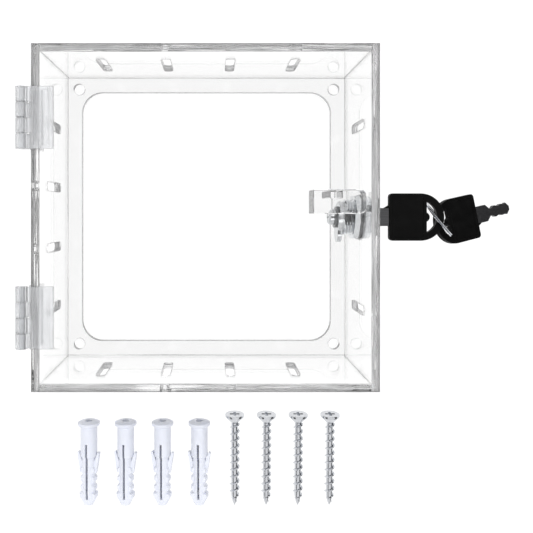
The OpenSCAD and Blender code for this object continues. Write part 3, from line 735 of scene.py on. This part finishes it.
# Each card's name, middle, width, length, and tilt in degrees
CARDS = (
    ("left", (-1.2, 0, 0.75), 1.2, 3.2, 0),
    ("right", (0.8, 0, 0.26), 0.5, 3.2, 90),
    ("back", (0, 1.25, 0.75), 1.0, 1.7, 0),
    ("inner", (0, 0, 0.75), 0.5, 0.5, 0),
)

# How much the room lights, and the lamp's side, height and power
ROOM_LIGHT = 0.75
LAMP_SIDE, LAMP_HEIGHT, LAMP_POWER = 1.6, 1.0, 8.8

# The camera's place, focal length and shift, fitted to the edges of the box in the photograph
CAMERA_PLACE = (2.3 * MM, 2.3 * MM, 309 * MM)
FOCAL_LENGTH, CAMERA_SHIFT = 42.68, (0.1037, -0.1025)


class LockBoxStage(bpy.types.Operator):
    """Set the floor, the reflection cards, the room, the lamp and the camera"""
    bl_idname = "lock_box.stage"
    bl_label = "Stage"

    def execute(self, context):
        self.floor()
        self.cards()
        self.room(context.scene)
        self.lamp(context.scene)
        self.camera(context.scene)
        context.scene.view_settings.view_transform = "Standard"
        return {"FINISHED"}

    def floor(self):
        """A wide pale floor just under the box."""
        clear_selection()
        bpy.ops.mesh.primitive_grid_add(x_subdivisions=8, y_subdivisions=8, size=FLOOR_SIDE,
                                        location=(0, 0, -FLOOR_GAP))
        floor = bpy.context.object
        floor.name = "floor"
        bpy.ops.object.transform_apply(location=True)
        wear(floor, white_floor())

    def cards(self):
        """Dark cards round the view that only gloss sees: they give bright metal its dark bands.
        The inner card is seen only through glass, so that the lock inside the box gets one too."""
        card_face, tree, shader = start_material("Black card", {"Roughness": 0.9})
        felt = pattern(tree, "ShaderNodeTexNoise", {"Detail": 2.0}, size_mm=4.0)
        surface(tree, shader, {
            "Base Color": graded(tree, felt, linear("#141414"), linear("#2a2a2a"))})
        for name, middle, width, length, tilt in CARDS:
            clear_selection()
            bpy.ops.mesh.primitive_grid_add(x_subdivisions=4, y_subdivisions=4, size=1)
            card = bpy.context.object
            card.name = f"card_{name}"
            card.scale = (width, length, 1)
            place(card, middle, (0, math.radians(tilt), 0))
            wear(card, card_face)
            card.visible_camera = card.visible_diffuse = card.visible_shadow = False
            card.visible_glossy = name != "inner"
            card.visible_transmission = name == "inner"

    def room(self, scene):
        """An even white room: three quarters as light, and white where it is seen."""
        world = bpy.data.worlds.new("White room")
        scene.world = world
        world.use_nodes = True
        tree = world.node_tree
        back = tree.nodes["Background"]
        back.inputs["Color"].default_value = (1, 1, 1, 1)
        tree.links.new(graded(tree, seen(tree), ROOM_LIGHT, 1.0), back.inputs["Strength"])

    def lamp(self, scene):
        """One wide soft lamp straight overhead. Gloss sees the white room in its place, so that
        it leaves no bright square on the door."""
        light = bpy.data.lights.new("Softbox", "AREA")
        light.shape, light.size, light.energy = "SQUARE", LAMP_SIDE, LAMP_POWER
        lamp = bpy.data.objects.new("Softbox", light)
        scene.collection.objects.link(lamp)
        lamp.location = (0, 0, LAMP_HEIGHT)
        lamp.visible_glossy = False

    def camera(self, scene):
        """The camera looks straight down at the box, from the distance of the
        photograph."""
        lens = bpy.data.cameras.new("Camera")
        lens.sensor_width, lens.lens = 36, FOCAL_LENGTH
        lens.shift_x, lens.shift_y = CAMERA_SHIFT
        lens.clip_start, lens.clip_end = 0.01, 50
        camera = bpy.data.objects.new("Camera", lens)
        scene.collection.objects.link(camera)
        camera.location = CAMERA_PLACE
        scene.camera = camera


OPERATORS = (LockBoxPanels, LockBoxHinges, LockBoxLock, LockBoxKeys, LockBoxScrews, LockBoxPlugs,
             LockBoxStage)


class LOCKBOX_PT_sidebar(bpy.types.Panel):
    """Lists the pieces of the lock box"""
    bl_idname = "LOCKBOX_PT_sidebar"
    bl_label = "Lock Box"
    bl_space_type = "VIEW_3D"
    bl_region_type = "UI"
    bl_category = "Lock Box"

    def draw(self, context):
        for operator in OPERATORS:
            self.layout.operator(operator.bl_idname)
        for group in (context.scene.lock_box_finish, context.scene.lock_box_kit):
            for name in group.__annotations__:
                self.layout.prop(group, name)


CLASSES = (LockBoxFinish, LockBoxKit, *OPERATORS, LOCKBOX_PT_sidebar)


def register():
    """Registers the classes and gives every scene its sizes and colours."""
    for cls in CLASSES:
        bpy.utils.register_class(cls)
    bpy.types.Scene.lock_box_finish = PointerProperty(type=LockBoxFinish)
    bpy.types.Scene.lock_box_kit = PointerProperty(type=LockBoxKit)


def unregister():
    """Takes back what register did."""
    del bpy.types.Scene.lock_box_kit
    del bpy.types.Scene.lock_box_finish
    for cls in reversed(CLASSES):
        bpy.utils.unregister_class(cls)


def main():
    register()
    bpy.ops.lock_box.panels()
    bpy.ops.lock_box.hinges()
    bpy.ops.lock_box.lock()
    bpy.ops.lock_box.keys()
    bpy.ops.lock_box.screws()
    bpy.ops.lock_box.plugs()
    bpy.ops.lock_box.stage()


if __name__ == "__main__":
    main()
